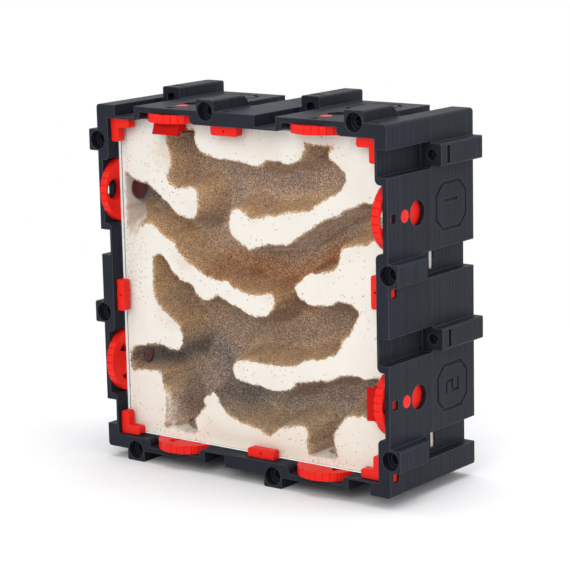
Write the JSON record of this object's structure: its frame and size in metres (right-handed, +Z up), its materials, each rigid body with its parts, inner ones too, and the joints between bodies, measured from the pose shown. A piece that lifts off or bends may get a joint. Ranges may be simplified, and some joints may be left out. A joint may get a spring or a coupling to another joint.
{
  "type": "ant habitat module",
  "caption": "Square ant nest module: black housing, plaster nest behind a clear pane, red shutter wheels and clips, lugs and channels on every side for joining modules.",
  "frame": {"origin": "on the ground under the middle of the whole object, between the outer faces of the bottom lugs", "axes": "+Z up, the clear pane and the shutter wheels' rims face -Y, +X to the right seen from the front"},
  "size_m": [0.1596, 0.064, 0.1596],
  "materials": {
    "black_print": "layered satin",
    "red_print": "layered satin",
    "dark_red_print": "rough",
    "plaster": "matt, speckled",
    "sand": "loose grains",
    "clear_sheet": "polished",
    "steel": "zinc plated"
  },
  "bodies": {
    "housing": {"housing": "black_print", "nest_block": "plaster", "sand_lining": "sand", "front_pane": "clear_sheet", "square_nuts": "steel"},
    "wheel_right_upper": {"wheel_right_upper": "red_print"},
    "wheel_right_lower": {"wheel_right_lower": "red_print"},
    "wheel_bottom_right": {"wheel_bottom_right": "red_print"},
    "wheel_bottom_left": {"wheel_bottom_left": "red_print"},
    "wheel_left_lower": {"wheel_left_lower": "red_print"},
    "wheel_left_upper": {"wheel_left_upper": "red_print"},
    "wheel_top_left": {"wheel_top_left": "red_print"},
    "wheel_top_right": {"wheel_top_right": "red_print"},
    "lock_right_lower": {"lock_right_lower": "dark_red_print"},
    "lock_top_left": {"lock_top_left": "dark_red_print"},
    "edge_clip_right": {"edge_clip_right": "red_print"},
    "edge_clip_bottom": {"edge_clip_bottom": "red_print"},
    "edge_clip_left": {"edge_clip_left": "red_print"},
    "edge_clip_top": {"edge_clip_top": "red_print"},
    "corner_clip_bottom_right": {"corner_clip_bottom_right": "red_print"},
    "corner_clip_bottom_left": {"corner_clip_bottom_left": "red_print"},
    "corner_clip_top_left": {"corner_clip_top_left": "red_print"},
    "corner_clip_top_right": {"corner_clip_top_right": "red_print"}
  },
  "joints": [
    {"name": "wheel_right_upper_spin", "type": "hinge", "parent": "housing", "child": "wheel_right_upper", "pos_m": [0.0707, -0.01748, 0.1173], "axis": [1, 0, 0], "continuous": true},
    {"name": "wheel_right_lower_spin", "type": "hinge", "parent": "housing", "child": "wheel_right_lower", "pos_m": [0.0707, -0.01748, 0.0423], "axis": [1, 0, 0], "range_deg": [-13, 13]},
    {"name": "wheel_bottom_right_spin", "type": "hinge", "parent": "housing", "child": "wheel_bottom_right", "pos_m": [0.0375, -0.01748, 0.0091], "axis": [0, 0, -1], "continuous": true},
    {"name": "wheel_bottom_left_spin", "type": "hinge", "parent": "housing", "child": "wheel_bottom_left", "pos_m": [-0.0375, -0.01748, 0.0091], "axis": [0, 0, -1], "continuous": true},
    {"name": "wheel_left_lower_spin", "type": "hinge", "parent": "housing", "child": "wheel_left_lower", "pos_m": [-0.0707, -0.01748, 0.0423], "axis": [-1, 0, 0], "continuous": true},
    {"name": "wheel_left_upper_spin", "type": "hinge", "parent": "housing", "child": "wheel_left_upper", "pos_m": [-0.0707, -0.01748, 0.1173], "axis": [-1, 0, 0], "continuous": true},
    {"name": "wheel_top_left_spin", "type": "hinge", "parent": "housing", "child": "wheel_top_left", "pos_m": [-0.0375, -0.01748, 0.1505], "axis": [0, 0, 1], "range_deg": [-13, 13]},
    {"name": "wheel_top_right_spin", "type": "hinge", "parent": "housing", "child": "wheel_top_right", "pos_m": [0.0375, -0.01748, 0.1505], "axis": [0, 0, 1], "continuous": true},
    {"name": "lock_right_lower_pull", "type": "slide", "parent": "housing", "child": "lock_right_lower", "axis": [-1, 0, 0], "range_m": [0, 0.0065]},
    {"name": "lock_top_left_pull", "type": "slide", "parent": "housing", "child": "lock_top_left", "axis": [0, 0, -1], "range_m": [0, 0.0065]},
    {"name": "edge_clip_right_pull", "type": "slide", "parent": "housing", "child": "edge_clip_right", "axis": [-1, 0, 0], "range_m": [0, 0.006]},
    {"name": "edge_clip_bottom_pull", "type": "slide", "parent": "housing", "child": "edge_clip_bottom", "axis": [0, 0, 1], "range_m": [0, 0.006]},
    {"name": "edge_clip_left_pull", "type": "slide", "parent": "housing", "child": "edge_clip_left", "axis": [1, 0, 0], "range_m": [0, 0.006]},
    {"name": "edge_clip_top_pull", "type": "slide", "parent": "housing", "child": "edge_clip_top", "axis": [0, 0, -1], "range_m": [0, 0.006]},
    {"name": "corner_clip_bottom_right_pull", "type": "slide", "parent": "housing", "child": "corner_clip_bottom_right", "axis": [-1, 0, 0], "range_m": [0, 0.006]},
    {"name": "corner_clip_bottom_left_pull", "type": "slide", "parent": "housing", "child": "corner_clip_bottom_left", "axis": [0, 0, 1], "range_m": [0, 0.006]},
    {"name": "corner_clip_top_left_pull", "type": "slide", "parent": "housing", "child": "corner_clip_top_left", "axis": [1, 0, 0], "range_m": [0, 0.006]},
    {"name": "corner_clip_top_right_pull", "type": "slide", "parent": "housing", "child": "corner_clip_top_right", "axis": [0, 0, -1], "range_m": [0, 0.006]}
  ]
}
